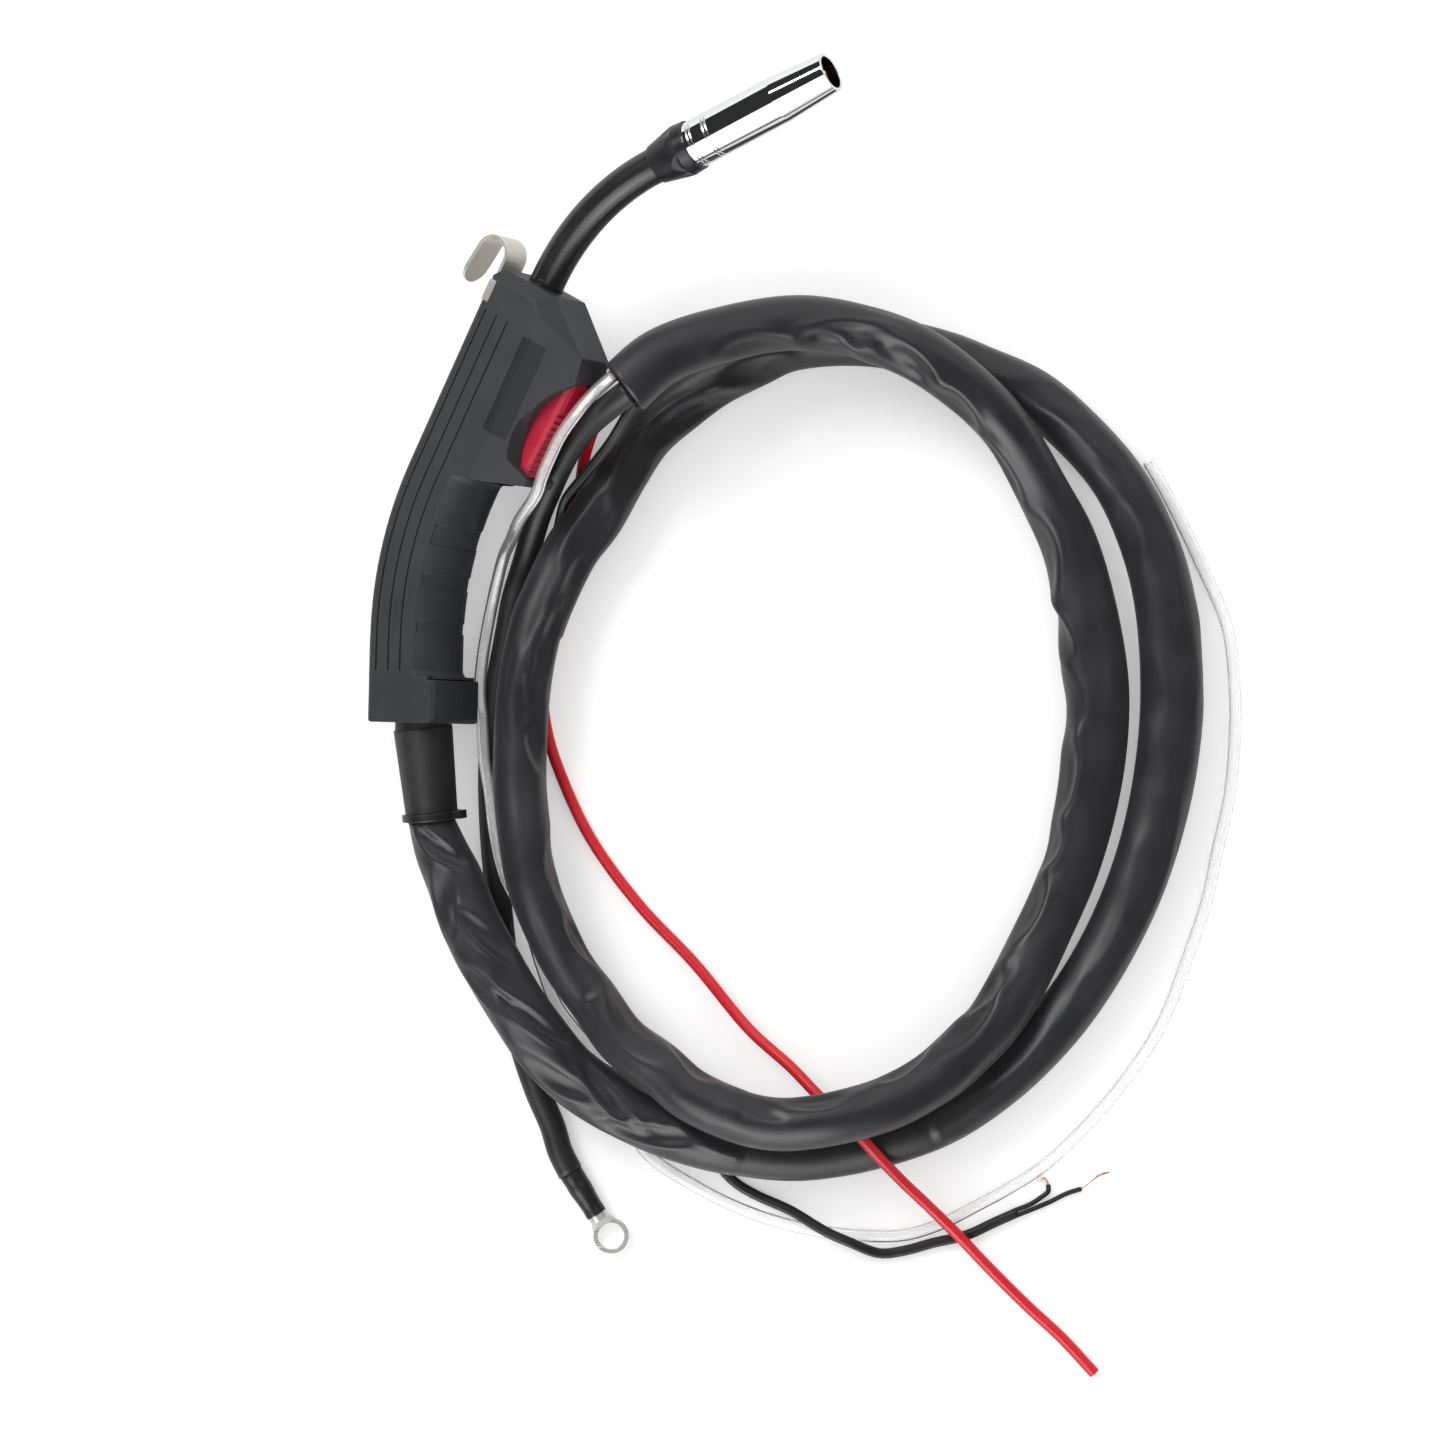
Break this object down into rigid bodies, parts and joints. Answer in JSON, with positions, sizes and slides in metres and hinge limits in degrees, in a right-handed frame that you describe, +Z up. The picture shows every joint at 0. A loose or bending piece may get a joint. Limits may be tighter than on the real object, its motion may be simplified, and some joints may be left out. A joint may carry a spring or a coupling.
{
  "type": "mig welding torch",
  "caption": "Gas-cooled MIG welding torch with moulded handle, trigger, swan neck, gas nozzle, hanging hook and a sleeved cable with stripped tails.",
  "frame": {"origin": "on the floor, under the middle of the torch's box (handle, neck, nozzle, hook and boot, without the cable)", "axes": "+Z up from the floor the torch lies on; +Y from the cable's boot towards the nozzle; +X towards the side the nozzle bends to"},
  "size_m": [0.3393, 0.4993, 0.1102],
  "materials": {
    "handle_plastic": "satin moulded, fine grain",
    "trigger_plastic": "smooth moulded",
    "screw_steel": "turned",
    "spring_steel": "drawn wire",
    "switch_plastic": "moulded",
    "hook_plate": "dull nickel plate",
    "brass": "machined",
    "copper": "drawn copper",
    "neck_sleeve": "satin shrink sleeve",
    "insulator_plastic": "moulded thermoset",
    "nozzle_chrome": "polished plate",
    "boot_rubber": "moulded",
    "tie_plastic": "moulded nylon",
    "cable_jacket": "smooth jacket",
    "clear_hose": "clear, milky with age",
    "liner_red": "spiral-marked tube",
    "sleeve_fabric": "coated cloth, wrinkled",
    "lead_rubber": "matt",
    "shrink_sleeve": "heat-shrunk",
    "tinned_copper": "tinned, satin"
  },
  "bodies": {
    "torch": {"near_shell": "handle_plastic", "far_shell": "handle_plastic", "shell_screws": "screw_steel", "trigger_pin": "screw_steel", "microswitch": "switch_plastic", "switch_wires": "cable_jacket", "hook": "hook_plate", "hook_screws": "screw_steel", "neck_block": "brass", "neck_tube": "copper", "neck_jacket": "neck_sleeve", "neck_insulator": "insulator_plastic", "tip_holder": "brass", "contact_tip": "copper", "nozzle_spring": "spring_steel", "cable_boot": "boot_rubber", "cable_tie": "tie_plastic", "cable_collar": "boot_rubber", "inner_power_cable": "cable_jacket", "inner_gas_hose": "clear_hose", "hose_clip": "spring_steel", "inner_liner": "liner_red", "cable_sleeve": "sleeve_fabric", "power_lead": "lead_rubber", "lug_shrink": "shrink_sleeve", "ring_lug": "tinned_copper", "gas_hose": "clear_hose", "wire_liner": "liner_red", "control_cable": "cable_jacket", "control_core_a": "cable_jacket", "control_core_b": "cable_jacket", "bare_strands": "copper"},
    "trigger_arm": {"trigger": "trigger_plastic", "trigger_spring": "spring_steel"},
    "plunger": {"switch_plunger": "trigger_plastic"},
    "gas_nozzle": {"nozzle": "nozzle_chrome"}
  },
  "joints": [
    {"name": "trigger_hinge", "type": "hinge", "parent": "torch", "child": "trigger_arm", "pos_m": [-0.00748, 0.0331, 0.05334], "axis": [0.4846, -0.0127, -0.8746], "range_deg": [0, 4.5], "stiffness_Nm_per_rad": 1.2, "springref_deg": -4.58},
    {"name": "plunger_slide", "type": "slide", "parent": "torch", "child": "plunger", "axis": [-0.7671, 0.4742, -0.432], "range_m": [0, 0.0025]},
    {"name": "nozzle_slide", "type": "slide", "parent": "torch", "child": "gas_nozzle", "axis": [0.8178, 0.3614, 0.4479], "range_m": [0, 0.065]}
  ],
  "couplings": [
    {"joint": "plunger_slide", "follows": "trigger_hinge", "m_per_rad": 0.031}
  ]
}
